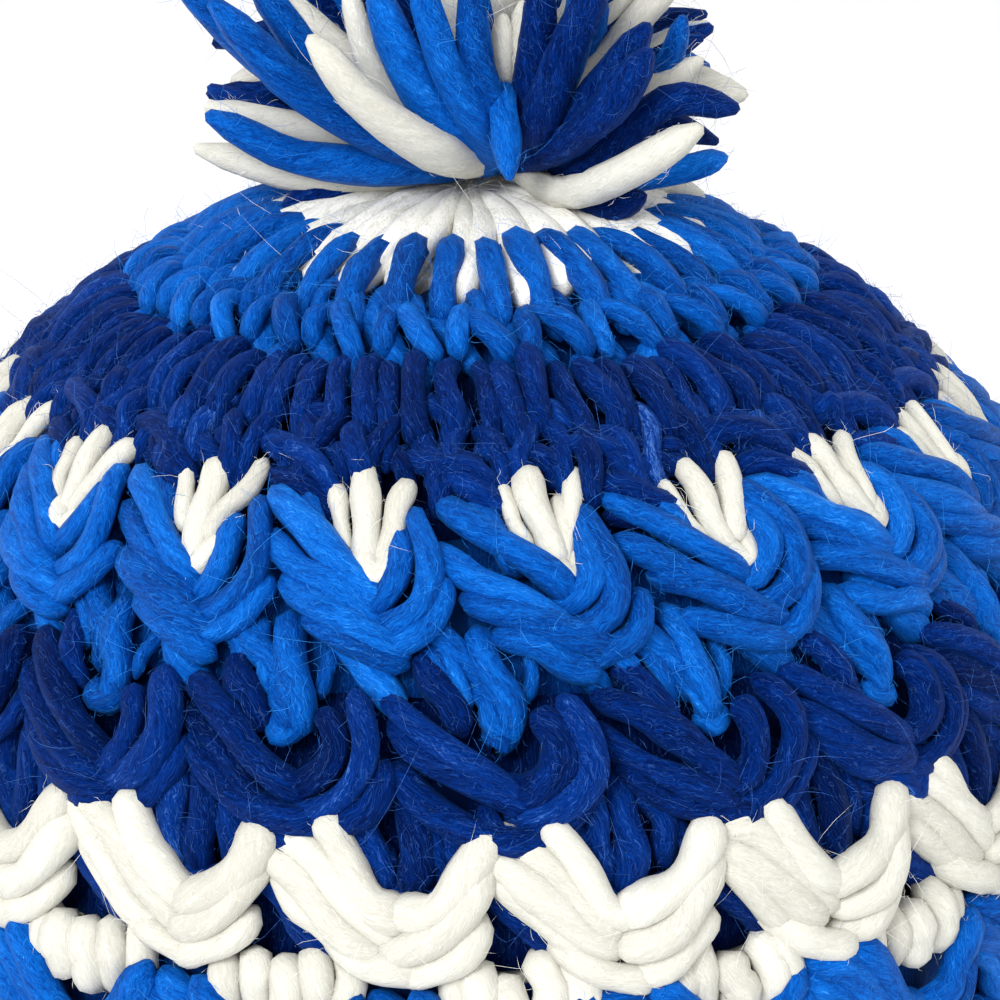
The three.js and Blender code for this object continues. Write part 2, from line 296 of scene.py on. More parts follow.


# Stray fibres of three kinds: how many there are, as a share of the haze, the points of each, its
# length, how far it stands off the yarn, how much it curls, its thinnest and its thickest radius
# in millimetres, and its tone, which is high so that they take the stray colour: partly lighter fibres,
# partly painted glint
STRAYS = {
    "down": (0.92, 3, 2.0, 0.6, 0.5, 0.020, 0.036, 4.0),
    "curl": (0.4, 5, 3.4, 1.0, 1.0, 0.020, 0.032, 5.0),
    "hair": (1 / 60, 11, 6.0, 1.0, 0.7, 0.018, 0.028, 6.0),
}


def fuzz(surface, paths, normals, radii, haze, size=1.0):
    """A down of short fibres, a haze of curls and a few long hairs on the strands. The haze is
    what the shares of the three kinds are taken of."""
    tangent = unit(np.gradient(paths, axis=1))
    across = unit(np.cross(tangent, normals))
    frames = (paths, tangent, across, np.cross(across, tangent), radii)
    for share, points, length, stand, curl, thinnest, thickest, tone in STRAYS.values():
        strays = stray(frames, int(share * haze), points, length * size, stand * size, curl)
        fibres(surface, strays, random.uniform(thinnest, thickest, len(strays)), tone)


# Charts of the crochet. A row of a chart is one bend of a strand: how far across the motif, in
# hundredths from its middle, how far down the dome from the crown in millimetres, and how far
# the yarn's middle is lifted off the dome's outline. Before the bends comes the strand's
# thickness, as a share of the full yarn's.
BLUE_SHELL = {
    "upper_arm": (1.06, [
        (-72, 84.0, -0.6), (-53, 88.0, 1.5), (-36, 91.2, 2.2), (-19, 94.4, 2.3), (-5, 97.4, 1.4),
        (5, 99.8, -0.6)]),
    "middle_arm": (1.1, [
        (-71, 89.2, -1.4), (-55, 92.4, 0.6), (-40, 95.4, 1.5), (-23, 98.2, 1.9), (-7, 101.0, 1.5),
        (8, 103.4, -0.4)]),
    "low_arm": (1.02, [
        (-53, 96.6, -1.4), (-37, 99.6, 1.0), (-20, 102.0, 1.9), (-4, 103.8, 1.9), (11, 105.2, 1.1),
        (21, 106.2, -0.8)]),
    "bottom_strand": (1.0, [
        (-38, 102.2, -1.6), (-22, 105.0, 0.6), (-6, 106.8, 1.4), (8, 108.0, 1.0), (20, 108.8, -1.0)]),
    "inner_ear": (0.98, [
        (-7, 99.2, -2.0), (2, 100.2, 0.0), (10, 99.4, 1.3), (16, 97.0, 2.0), (18, 93.6, 1.8),
        (15, 90.0, 0.9), (13, 87.0, -1.0)]),
    "ear": (1.0, [
        (-6, 102.6, -2.0), (5, 103.6, 0.0), (16, 103.2, 1.4), (26, 101.2, 2.1), (31, 98.0, 2.4),
        (31, 94.2, 2.3), (27, 90.8, 1.8), (21, 87.4, 0.6), (18, 85.2, -1.2)]),
    "under_ear": (0.9, [
        (2, 105.8, -2.0), (12, 106.4, 0.0), (23, 105.6, 1.1), (33, 103.2, 1.3), (39, 99.6, 1.1),
        (41, 96.2, -0.6)]),
    "tuft_strand": (0.9, [
        (-50, 82.4, -1.4), (-43, 85.2, 0.6), (-36, 88.2, 1.0), (-29, 91.4, 0.4), (-22, 94.6, -1.2)]),
    "left_post": (0.62, [(-63, 103.0, -3.0), (-58, 107.4, -1.0), (-53, 111.0, -0.8), (-49, 114.0, -2.2)]),
    "main_post": (1.18, [
        (-45, 101.6, -2.8), (-41, 106.0, -0.6), (-36, 110.6, 0.3), (-31, 114.8, 0.1),
        (-32, 118.4, -1.4)]),
    "side_post": (0.76, [(-47, 110.2, -2.4), (-41, 113.6, -0.1), (-37, 116.4, 0.3), (-32, 118.8, -0.8)]),
    "foot": (0.8, [(-43, 116.2, -1.8), (-38, 118.2, -0.4), (-33, 118.6, -0.2), (-28, 116.8, -1.8)]),
    "right_post": (0.62, [(-20, 105.4, -3.2), (-20, 109.4, -1.4), (-23, 114.4, -2.0)]),
    "far_post": (0.66, [(-77, 104.6, -2.8), (-70, 107.4, -1.0), (-64, 110.0, -1.0), (-60, 113.0, -2.4)]),
}
NAVY_SHELL = {
    "steep_strand": (0.95, [
        (-43, 106.6, -2.2), (-35, 110.0, -0.2), (-27, 113.8, 0.5), (-20, 118.2, -0.8)]),
    "upper_arm": (1.14, [
        (-60, 112.0, -1.0), (-44, 115.4, 1.4), (-29, 118.8, 2.5), (-16, 122.2, 2.6), (-3, 125.2, 1.8),
        (7, 127.2, -0.4)]),
    "middle_arm": (1.1, [
        (-62, 116.4, -1.8), (-48, 119.8, 0.5), (-34, 122.8, 1.4), (-19, 125.8, 1.8), (-4, 128.2, 1.5),
        (9, 129.8, -0.4)]),
    "low_arm": (1.06, [
        (-54, 120.8, -1.8), (-41, 124.8, 0.5), (-27, 128.0, 1.3), (-11, 130.4, 1.6), (6, 131.4, 1.4),
        (20, 131.0, -0.4)]),
    "inner_ear": (1.0, [
        (-7, 125.2, -2.0), (3, 126.4, 0.2), (12, 125.4, 1.6), (19, 123.4, 2.3), (22, 120.2, 2.3),
        (19, 117.2, 1.5), (13, 115.0, -0.4)]),
    "ear": (1.04, [
        (-6, 128.4, -2.0), (5, 129.4, 0.2), (17, 128.8, 1.5), (27, 126.8, 2.2), (34, 123.4, 2.5),
        (35, 119.6, 2.4), (31, 116.0, 1.8), (25, 112.4, -0.6)]),
    "under_ear": (0.84, [
        (4, 131.0, -2.0), (14, 131.6, 0.0), (26, 130.4, 1.1), (36, 127.6, 1.5), (43, 124.0, 1.1),
        (45, 120.2, -0.8)]),
    "nub": (0.92, [
        (-15, 128.8, -0.8), (-8, 131.8, 1.3), (1, 133.6, 1.8), (9, 132.2, 1.3), (15, 128.8, -0.8)]),
    "far_post": (0.95, [
        (-67, 123.0, -3.6), (-63, 128.4, -1.6), (-60, 133.6, -1.0), (-55, 138.2, -1.2),
        (-54, 141.4, -2.6)]),
    "main_post": (1.12, [
        (-50, 122.2, -3.6), (-46, 127.4, -1.2), (-43, 132.6, -0.6), (-43, 137.2, -0.9),
        (-45, 141.2, -2.4)]),
    "side_post": (0.9, [(-36, 126.2, -3.4), (-32, 131.4, -1.4), (-29, 136.4, -1.2), (-27, 140.0, -2.6)]),
    "near_post": (0.78, [(-26, 128.0, -3.2), (-22, 132.6, -1.6), (-19, 137.0, -1.6), (-18, 140.0, -2.8)]),
    "cross_foot": (0.8, [(-62, 138.2, -2.4), (-51, 140.4, -1.2), (-38, 141.2, -1.2), (-26, 139.6, -2.4)]),
}
ZIGZAG_SHELL = {
    "right_peak": (1.2, [
        (-27, 129.6, 1.6), (-21, 132.2, 1.9), (-14, 135.6, 2.0), (-8, 138.8, 1.9), (-1, 141.6, 1.7),
        (8, 143.2, 0.9), (16, 143.8, -0.8)]),
    "upper_strand": (1.25, [
        (-52, 131.4, -1.6), (-43, 132.6, 0.2), (-34, 133.6, 1.2), (-25, 135.8, 1.6), (-16, 139.2, 1.6),
        (-6, 142.8, 1.5), (3, 145.6, 0.7), (10, 147.2, -1.0)]),
    "middle_strand": (1.3, [
        (-57, 132.2, -1.4), (-48, 135.0, 0.6), (-37, 137.6, 1.3), (-26, 140.8, 1.5), (-16, 144.2, 1.6),
        (-6, 147.2, 1.1), (5, 148.8, -0.4)]),
    "low_strand": (1.25, [
        (-25, 144.8, -1.6), (-14, 148.0, 0.6), (-3, 150.4, 1.6), (9, 152.0, 1.4), (20, 153.0, -0.8)]),
    "top_knuckle": (1.25, [
        (4, 144.4, 0.2), (15, 142.6, 2.0), (26, 141.0, 2.6), (35, 138.4, 2.5), (42, 135.0, 2.1),
        (48, 130.8, 1.6)]),
    "middle_knuckle": (1.25, [
        (4, 148.2, 0.4), (17, 147.0, 2.2), (28, 145.2, 2.8), (37, 142.4, 2.5), (44, 138.6, 1.3),
        (50, 134.6, -0.8)]),
    "low_knuckle": (1.15, [
        (6, 152.0, -0.8), (19, 151.2, 1.4), (30, 149.6, 2.0), (39, 147.0, 1.5), (45, 143.4, -0.8)]),
    "under_strand": (1.0, [
        (-50, 136.6, -1.2), (-40, 139.8, 0.5), (-29, 143.4, 0.9), (-18, 147.0, 0.8), (-8, 149.8, -0.8)]),
    "first_post": (1.25, [(-58, 150.6, -2.0), (-57, 153.2, 0.0), (-56, 156.2, 0.1), (-57, 160.8, -1.8)]),
    "second_post": (1.3, [(-44, 151.4, -2.0), (-42, 154.0, 0.3), (-41, 156.8, 0.4), (-42, 161.4, -1.8)]),
    "third_post": (1.3, [(-30, 149.4, -2.0), (-27, 152.4, 0.3), (-25, 155.6, 0.4), (-27, 160.6, -1.8)]),
    "fourth_post": (1.2, [(-15, 149.4, -2.0), (-13, 152.8, 0.0), (-13, 156.6, 0.0), (-15, 161.0, -1.8)]),
    "fifth_post": (1.2, [(30, 150.2, -2.0), (32, 153.0, 0.0), (32, 156.2, 0.0), (30, 160.8, -1.8)]),
}
WHITE_TUFT = {
    "left_petal": (0.62, [(-33, 81.8, 0.5), (-28, 85.0, 1.2), (-22, 88.8, 1.2), (-15, 92.8, 0.4)]),
    "middle_petal": (0.98, [
        (-15, 79.4, 0.4), (-12, 83.2, 1.1), (-9, 87.6, 1.2), (-6, 92.2, 1.2), (-3, 95.6, 0.2)]),
    "right_petal": (0.8, [
        (17, 80.0, 0.4), (12, 83.4, 1.0), (8, 87.2, 1.1), (3, 91.6, 1.2), (-1, 94.8, 0.4)]),
    "base": (0.9, [(-9, 91.4, -0.4), (-5, 94.2, 1.0), (1, 95.8, 1.3), (7, 94.2, 1.0), (10, 90.6, -0.4)]),
    "side_petal": (0.6, [(6, 82.4, -1.8), (5, 86.0, 0.2), (5, 90.0, 0.6), (3, 93.4, -0.6)]),
}
PETAL_PAIR = {
    "left_petal": (1.04, [
        (-22, 26.8, -1.2), (-23, 32.4, 1.5), (-24, 38.6, 1.9), (-23, 44.4, 1.4), (-20, 50.2, -0.8)]),
    "right_petal": (1.04, [
        (21, 27.2, -1.2), (25, 33.0, 1.5), (29, 39.2, 1.9), (32, 45.2, 1.3), (33, 51.6, -0.8)]),
}
CHAIN_LOOP = {
    "slanting_loop": (0.86, [
        (-4, 48.2, -0.8), (10, 51.0, 1.6), (27, 53.8, 2.2), (42, 56.2, 1.5), (54, 58.4, -0.8)]),
    "upright_loop": (0.86, [
        (-10, 46.4, -1.0), (-18, 50.0, 1.3), (-23, 53.4, 1.5), (-19, 57.2, -0.6)]),
    "short_loop": (0.66, [(0, 42.0, -1.6), (10, 46.0, 0.2), (20, 49.6, 0.2), (32, 52.6, -1.6)]),
    "high_loop": (0.7, [(36, 39.6, -2.0), (42, 43.0, -0.4), (50, 47.0, -0.2), (58, 50.4, -1.4)]),
    "under_patch": (0.8, [(41, 56.4, -2.0), (44, 60.0, -0.9), (48, 64.8, -2.2)]),
}
NAVY_POST = {
    "first_post": (0.92, [
        (-24, 57.6, -1.6), (-21, 61.4, 0.8), (-15, 66.2, 1.6), (-11, 70.6, 1.2), (-9, 74.6, -0.8)]),
    "second_post": (0.86, [
        (22, 58.6, -1.8), (28, 62.8, 0.6), (36, 67.6, 1.3), (41, 72.2, 0.9), (42, 76.4, -1.0)]),
    "first_foot": (0.84, [
        (-18, 70.2, -1.6), (-6, 73.0, 0.9), (5, 76.6, 1.3), (11, 80.6, 0.6), (13, 84.2, -1.6)]),
    "second_foot": (0.8, [
        (56, 67.8, -1.8), (48, 71.6, 0.4), (37, 76.0, 1.2), (31, 80.4, 0.6), (33, 84.2, -1.6)]),
    "cross_loop": (0.7, [(-4, 64.6, -1.8), (6, 67.6, 0.4), (20, 69.8, 0.7), (33, 71.2, -1.2)]),
    "knot": (0.76, [(-38, 75.0, -1.6), (-26, 76.8, 0.9), (-12, 78.6, 1.2), (-2, 81.4, -0.8)]),
}
NAVY_HEM = {
    "long_loop": (0.92, [
        (4, 75.8, -1.6), (20, 76.4, 0.9), (38, 77.4, 1.8), (54, 79.4, 1.6), (66, 82.0, 0.4),
        (72, 84.8, -1.6)]),
    "short_loop": (0.8, [(-50, 74.8, -1.6), (-35, 76.8, 0.7), (-19, 78.6, 0.8), (-6, 80.4, -1.2)]),
    "flat_loop": (0.84, [(22, 80.6, -1.8), (40, 82.6, 0.7), (60, 84.8, 0.9), (76, 86.8, -1.4)]),
    "low_loop": (0.8, [(34, 84.8, -2.0), (50, 87.0, -0.4), (66, 89.2, -0.4), (80, 91.2, -2.4)]),
}
GROUND_STRAND = {
    "strand": (1.1, [
        (-46, 101.4, -3.2), (-26, 104.6, -1.9), (-4, 107.8, -1.6), (18, 111.0, -1.9), (38, 114.2, -3.2)]),
}
PLAIN_POST = {
    "post": (1.12, [
        (-20, 174.8, -1.8), (-12, 179.0, 0.8), (-1, 184.2, 1.6), (9, 189.4, 1.6), (17, 194.4, 0.8),
        (21, 198.0, -1.4)]),
    "cross_loop": (0.74, [(-46, 185.6, -2.6), (-30, 189.6, -0.7), (-12, 193.4, -0.5), (6, 196.4, -1.6)]),
}


def strands_of(charted, count, drift, down, rings, loose):
    """Paths, normals and radii of one charted strand in each of count motifs, which stand evenly
    round the dome. Each copy wanders a little from the chart, across, down and in lift, and has
    its own thickness."""
    thickness, bends = charted
    smooth = catmull(np.array(bends, float), rings)[None]
    copies = np.arange(count)[:, None]
    own_place = random.normal(0, OWN_PLACE * loose, (count, 1))
    moved = wander(count, rings, WANDER_ACROSS * loose) + own_place
    across = smooth[..., 0] / 100 + moved / ROW_GIRTH * count
    own_drop = random.normal(0, OWN_DROP * loose, (count, 1))
    distance = smooth[..., 1] + down + own_drop + wander(count, rings, WANDER_DOWN * loose)
    lift = smooth[..., 2] + wander(count, rings, WANDER_LIFT * loose)
    pitch = 2 * np.pi / count
    azimuth = TUFT_ANGLE + (copies + drift + across) * pitch
    own = random.normal(1, OWN_THICKNESS, (count, 1))
    own = own * (1 + wander(count, rings, WANDER_THICKNESS, 5))
    radii = YARN_RADIUS * thickness * own * taper(rings)[None]
    return dome(azimuth, distance, lift), dome_normal(azimuth, distance), radii


def crochet(surface, chart, count, drift, haze, down=0.0, loose=1.0, sides=YARN_SIDES):
    """All strands of a chart laid round the dome in count motifs, with their fuzz. The haze of a
    motif is shared out by how far each strand reaches down the dome and 8 mm more."""
    lengths = np.array([abs(bends[-1][1] - bends[0][1]) + 8 for _, bends in chart.values()])
    shares = (haze * count * lengths / lengths.sum()).astype(int)
    for charted, share in zip(chart.values(), shares):
        rings = 3 + 2 * len(charted[1])
        paths, normals, radii = strands_of(charted, count, drift, down, rings, loose)
        tubes(surface, paths, normals, radii, sides, random.normal(0, 1, count), RIDGE)
        fuzz(surface, paths, normals, radii, share)


def wall(surface, top, bottom, outer=-3.2, ridges=40, columns=160):
    """Closed ring of the backing from the top to the bottom distance. Its outer face has the
    slanting ridges of the ground under the yarn, 0.9 cos(ridges a + 4 d), and its inner face the
    ribs of the stitches' backs, 0.6 cos(ridges a + 3 d) + 0.4 cos 4 pi d, for the azimuth a and
    the share d of the way down."""
    azimuth = np.arange(columns)[:, None] * 2 * np.pi / columns
    down = np.linspace(0, 1, 7)[None]
    distance = np.concatenate([top + (bottom - top) * down, bottom + (top - bottom) * down], axis=1)
    back = -WALL + 1.0 + 0.6 * np.cos(ridges * azimuth + 3 * down) + 0.4 * np.cos(4 * np.pi * down)
    front = outer - 0.9 + 0.9 * np.cos(ridges * azimuth + 4 * down)
    lift = np.concatenate([front, back[:, ::-1]], axis=1)
    points = dome(np.broadcast_to(azimuth, lift.shape), np.broadcast_to(distance, lift.shape), lift)
    rows = lift.shape[1]
    here = np.arange(columns)[:, None] * rows
    ahead = (np.arange(columns)[:, None] + 1) % columns * rows
    row = np.arange(rows)[None]
    below = (row + 1) % rows
    quads = np.stack([here + row, here + below, ahead + below, ahead + row], axis=-1).reshape(-1, 4)
    arc = np.broadcast_to(azimuth * ROW_RADIUS, lift.shape)
    fibre = np.stack([lift, arc, np.broadcast_to(distance, lift.shape)], axis=-1).reshape(-1, 3)
    # painted shade: the backing is coloured with the darker ground tone
    surface.add(points.reshape(-1, 3), quads, np.zeros((0, 3), int), fibre,
                np.full(columns * rows, GROUND_PAINTED_SHADE))


def crown_cap(surface, edge, columns=160):
    """Closed cap under the crown's gathers out to the edge's distance, with 24 folds that grow
    outwards, its back inside the hat and a pole on each side."""
    front, back = -2.2, -WALL + 0.9
    azimuth = np.arange(columns)[:, None] * 2 * np.pi / columns
    shares = np.array([0.08, 0.25, 0.45, 0.7, 1.0])[None]
    fold = 0.9 * np.cos(24 * azimuth) * shares
    distance = np.concatenate([shares, shares[:, ::-1]], axis=1) * edge
    lift = np.concatenate([fold + front, fold[:, ::-1] + back], axis=1)
    points = dome(np.broadcast_to(azimuth, lift.shape), np.broadcast_to(distance, lift.shape), lift)
    rows = lift.shape[1]
    here = np.arange(columns)[:, None] * rows
    ahead = (np.arange(columns)[:, None] + 1) % columns * rows
    row = np.arange(rows - 1)[None]
    quads = np.stack([here + row, here + row + 1, ahead + row + 1, ahead + row], axis=-1)
    top, bottom = columns * rows, columns * rows + 1
    caps = np.concatenate([
        np.stack([np.full_like(here, top), here, ahead], axis=-1).reshape(-1, 3),
        np.stack([np.full_like(here, bottom), ahead + rows - 1, here + rows - 1],
                 axis=-1).reshape(-1, 3),
    ])
    poles = np.array([[0, 0, PROFILE[0, 1] + front], [0, 0, PROFILE[0, 1] + back]])
    vertices = np.concatenate([points.reshape(-1, 3), poles])
    # painted shade: the cap takes the darker cap tone
    tone = np.full(len(vertices), CAP_PAINTED_SHADE)
    surface.add(vertices, quads.reshape(-1, 4), caps, vertices * 0.4, tone)


# Wool: the colours of a strand from its deep grooves to the stray fibres that catch the light. Beside the
# wool's own fibre colours, the deep colour is painted shade in the bump's grooves, the pale one painted
# highlight on its crests, and the stray colour partly painted glint and also painted light on the crown's
# gathers, against the pompom's shade
WOOLS = {
    "bright_blue_wool": {
        "deep": (0.0003, 0.020, 0.15), "full": (0.0005, 0.057, 0.315), "pale": (0.003, 0.118, 0.52),
        "stray": (0.04, 0.28, 0.78), "sheen": (0.06, 0.42, 1.0), "sheen_weight": 0.12,
        "relief": 0.34, "gloss": 0.32},
    "navy_wool": {
        "deep": (0.0002, 0.0032, 0.036), "full": (0.0003, 0.0103, 0.094), "pale": (0.0012, 0.026, 0.185),
        "stray": (0.05, 0.14, 0.44), "sheen": (0.05, 0.25, 1.0), "sheen_weight": 0.10,
        "relief": 0.34, "gloss": 0.16},
    "ivory_wool": {
        "deep": (0.49, 0.48, 0.42), "full": (0.565, 0.557, 0.495), "pale": (0.63, 0.622, 0.56),
        "stray": (0.84, 0.83, 0.78), "sheen": (1.0, 0.98, 0.95), "sheen_weight": 0.08,
        "relief": 0.22, "gloss": 0.15},
}


def fibre_streaks():
    """Node group of the fibres in a strand. Noise drawn out along the twist, coarse for the
    bundles and fine for the fibres, gives a height for the bump and a shade for the colour; the shade
    follows the height closely, so it paints shade into the bump's grooves and highlight onto its crests.
    The lines where a third noise passes its middle value are single light hairs, partly painted glints. A
    slow noise moves them all sideways, so that they curl."""
    group = bpy.data.node_groups.new("fibre_streaks", "ShaderNodeTree")
    for output in ("Shade", "Height", "Hairs_And_Glints"):
        group.interface.new_socket(output, in_out="OUTPUT", socket_type="NodeSocketFloat")
    nodes, links = group.nodes, group.links
    place = nodes.new("ShaderNodeAttribute")
    place.attribute_name = "fibre"
    outlet = nodes.new("NodeGroupOutput")
    slow = nodes.new("ShaderNodeTexNoise")
    slow.inputs["Scale"].default_value = 0.55
    slow.inputs["Detail"].default_value = 1.0
    links.new(place.outputs["Vector"], slow.inputs["Vector"])
    curled = nodes.new("ShaderNodeVectorMath")
    curled.operation = "MULTIPLY_ADD"
    curled.inputs[1].default_value = (1.3, 1.3, 0)
    links.new(slow.outputs["Color"], curled.inputs[0])
    links.new(place.outputs["Vector"], curled.inputs[2])
    drawn = {}
    for name, spread, along, detail in (
        ("bundles", 0.7, 0.12, 3.0), ("fibres", 4.5, 0.50, 2.0), ("hairs", 2.0, 0.08, 0.0),
    ):
        stretch = nodes.new("ShaderNodeMapping")
        stretch.inputs["Scale"].default_value = (spread, spread, along)
        noise = nodes.new("ShaderNodeTexNoise")
        noise.inputs["Scale"].default_value = 1.0
        noise.inputs["Detail"].default_value = detail
        noise.inputs["Roughness"].default_value = 0.62
        links.new(curled.outputs["Vector"], stretch.inputs["Vector"])
        links.new(stretch.outputs["Vector"], noise.inputs["Vector"])
        drawn[name] = noise.outputs["Fac"]
    middle = nodes.new("ShaderNodeMath")
    middle.operation = "SUBTRACT"
    middle.inputs[1].default_value = 0.5
    links.new(drawn["hairs"], middle.inputs[0])
    near = nodes.new("ShaderNodeMath")
    near.operation = "ABSOLUTE"
    links.new(middle.outputs["Value"], near.inputs[0])
    line = nodes.new("ShaderNodeMapRange")
    line.inputs["From Min"].default_value = 0.03
    line.inputs["From Max"].default_value = 0.005
    links.new(near.outputs["Value"], line.inputs["Value"])
    links.new(line.outputs["Result"], outlet.inputs["Hairs_And_Glints"])
    for output, factor in (("Height", 0.5), ("Shade", 0.55)):
        mix = nodes.new("ShaderNodeMix")
        mix.inputs["Factor"].default_value = factor
        links.new(drawn["bundles"], mix.inputs["A"])
        links.new(drawn["fibres"], mix.inputs["B"])
        links.new(mix.outputs["Result"], outlet.inputs[output])
    return group


def wool(name, streaks):
    """Matt wool: deep, full and pale colour by the streaks and by each strand's own tone, the deep one
    painted shade in the bump's grooves and the pale one partly painted highlight on its crests, fine
    light hairs that are partly painted glints, a bump along the fibres and a soft sheen."""
    tints = WOOLS[name]
    material = bpy.data.materials.new(name)
    material.use_nodes = True
    nodes, links = material.node_tree.nodes, material.node_tree.links
    shader = nodes["Principled BSDF"]
    streaked = nodes.new("ShaderNodeGroup")
    streaked.node_tree = streaks
    tone = nodes.new("ShaderNodeAttribute")
    tone.attribute_name = "tone"
    own = nodes.new("ShaderNodeMath")
    own.operation = "MULTIPLY_ADD"
    own.inputs[1].default_value = 0.05
    links.new(tone.outputs["Fac"], own.inputs[0])
    links.new(streaked.outputs["Shade"], own.inputs[2])
    colour = None
    # painted shade and highlight: the streak shade puts the deep colour in the bump's grooves and the
    # pale one on its crests, over the wool's own fibre colours and each strand's random tone
    for tint, start, end in (("full", 0.36, 0.50), ("pale", 0.50, 0.66), ("stray", 0.66, 0.78)):
        share = nodes.new("ShaderNodeMapRange")
        share.inputs["From Min"].default_value = start
        share.inputs["From Max"].default_value = end
        mix = nodes.new("ShaderNodeMix")
        mix.data_type = "RGBA"
        mix.inputs["A"].default_value = (*tints["deep"], 1)
        mix.inputs["B"].default_value = (*tints[tint], 1)
        links.new(own.outputs["Value"], share.inputs["Value"])
        links.new(share.outputs["Result"], mix.inputs["Factor"])
        if colour:
            links.new(colour, mix.inputs["A"])
        colour = mix.outputs["Result"]
    # painted glint: light lines of the stray colour, partly single light hairs
    hair = nodes.new("ShaderNodeMath")
    hair.operation = "MULTIPLY"
    hair.inputs[1].default_value = 0.22
    links.new(streaked.outputs["Hairs_And_Glints"], hair.inputs[0])
    hair_glint_mix = nodes.new("ShaderNodeMix")
    hair_glint_mix.data_type = "RGBA"
    hair_glint_mix.inputs["B"].default_value = (*tints["stray"], 1)
    links.new(hair.outputs["Value"], hair_glint_mix.inputs["Factor"])
    links.new(colour, hair_glint_mix.inputs["A"])
    links.new(hair_glint_mix.outputs["Result"], shader.inputs["Base Color"])
    bump = nodes.new("ShaderNodeBump")
    bump.inputs["Strength"].default_value = 1.0
    bump.inputs["Distance"].default_value = tints["relief"] * MM
    links.new(streaked.outputs["Height"], bump.inputs["Height"])
    links.new(bump.outputs["Normal"], shader.inputs["Normal"])
    shader.inputs["Roughness"].default_value = 0.6
    shader.inputs["Specular IOR Level"].default_value = tints["gloss"]
    shader.inputs["Specular Tint"].default_value = (*tints["sheen"], 1)
    shader.inputs["Sheen Weight"].default_value = tints["sheen_weight"]
    shader.inputs["Sheen Roughness"].default_value = 0.45
    shader.inputs["Sheen Tint"].default_value = (*tints["sheen"], 1)
    return material


STREAKS = fibre_streaks()
BRIGHT_BLUE, NAVY, IVORY = (wool(name, STREAKS) for name in WOOLS)

# Where each row of shells has the middle of its first motif, in motifs from the first tuft
BLUE_DRIFT = 0.0
NAVY_DRIFT = -0.31
ZIGZAG_DRIFT = 0.11
LOWER_DRIFT = 0.56

# How many of each go round the hat, and the shells' spacing and looseness
PETAL_PAIRS = 19
CHAIN_LOOPS = 30
NAVY_POSTS = 46
PLAIN_POSTS = 64
BRIM_RIBS = 84
RIM_LOOPS = 63
CROWN_STRANDS = 38
SHELL_PITCH = 24.0  # from one row of shells to the next, down the dome
SHELL_LOOSENESS = 1.2


def make_crown():
    """Ivory gathers: strands that fan out from the middle, under the pompom, to the blue loops.
    They are as thick as the room between them allows, and dip at both ends."""
    surface = Surface()
    crown_cap(surface, edge=36)
    count, rings = CROWN_STRANDS, 20
    turn = np.arange(count)[:, None] + random.normal(0, 0.12, (count, 1))
    along = np.linspace(0, 1, rings)[None]
    azimuth = turn * 2 * np.pi / count + 0.10 * np.sin(along * 3) + wander(count, rings, 0.02)
    distance = 3 + along * (39.5 + random.normal(0, 1.5, (count, 1)))
    lift = 0.5 - 1.2 * along**4 + wander(count, rings, 0.3) - 1.2 * (1 - along) ** 3
    full = np.minimum(2.7, 0.4 + 0.55 * 2 * np.pi * distance / count)
    radii = full * random.normal(1, 0.1, (count, 1)) * taper(rings, 0.9, 0.6)[None]
    paths, normals = dome(azimuth, distance, lift), dome_normal(azimuth, distance)
    # painted light: the crown strands take the paler crown tone, against the pompom's shade
    tubes(surface, paths, normals, radii, YARN_SIDES, random.normal(CROWN_PAINTED_LIGHT, 0.6, count), RIDGE)
    fuzz(surface, paths, normals, radii, haze=1100)
    surface.piece("crown_gathers", IVORY, "crown")


def make_upper_blue_row():
    """Bright blue pairs of upright petals over a chain of small slanting and upright loops, with
    the ground between the loops."""
    surface = Surface()
    wall(surface, top=34, bottom=58.6)
    crochet(surface, PETAL_PAIR, PETAL_PAIRS, drift=-0.53, haze=70, loose=0.8)
    crochet(surface, CHAIN_LOOP, CHAIN_LOOPS, drift=-0.73, haze=60, loose=0.9)
    crochet(surface, GROUND_STRAND, CHAIN_LOOPS, drift=0.0, haze=10, down=-56.5)
    surface.piece("upper_blue_stitches", BRIGHT_BLUE, "upper_blue_row")


def make_upper_navy_row():
    """Slanting navy posts close together, with longer loops along their feet between the tufts."""
    surface = Surface()
    wall(surface, top=58.4, bottom=88.3)
    crochet(surface, NAVY_POST, NAVY_POSTS, drift=0.2, haze=75, loose=1.7)
    crochet(surface, NAVY_HEM, MOTIFS, drift=0.0, haze=110, loose=1.4)
    surface.piece("upper_navy_stitches", NAVY, "upper_navy_row")


def make_white_tufts():
    """Ivory petals that fan up out of each blue cup."""
    surface = Surface()
    wall(surface, top=86.8, bottom=89.8, outer=-5.6)
    crochet(surface, WHITE_TUFT, MOTIFS, BLUE_DRIFT, haze=50, sides=ROUND_SIDES)
    surface.piece("white_tufts", IVORY, "white_tuft_row")


def make_blue_shells():
    """Bright blue cups round the tufts, and the posts between them."""
    surface = Surface()
    wall(surface, top=88.1, bottom=112.2)
    crochet(surface, BLUE_SHELL, MOTIFS, BLUE_DRIFT, haze=210, loose=SHELL_LOOSENESS)
    crochet(surface, GROUND_STRAND, 2 * MOTIFS, drift=0.0, haze=20)
    surface.piece("blue_shells", BRIGHT_BLUE, "blue_shell_row")


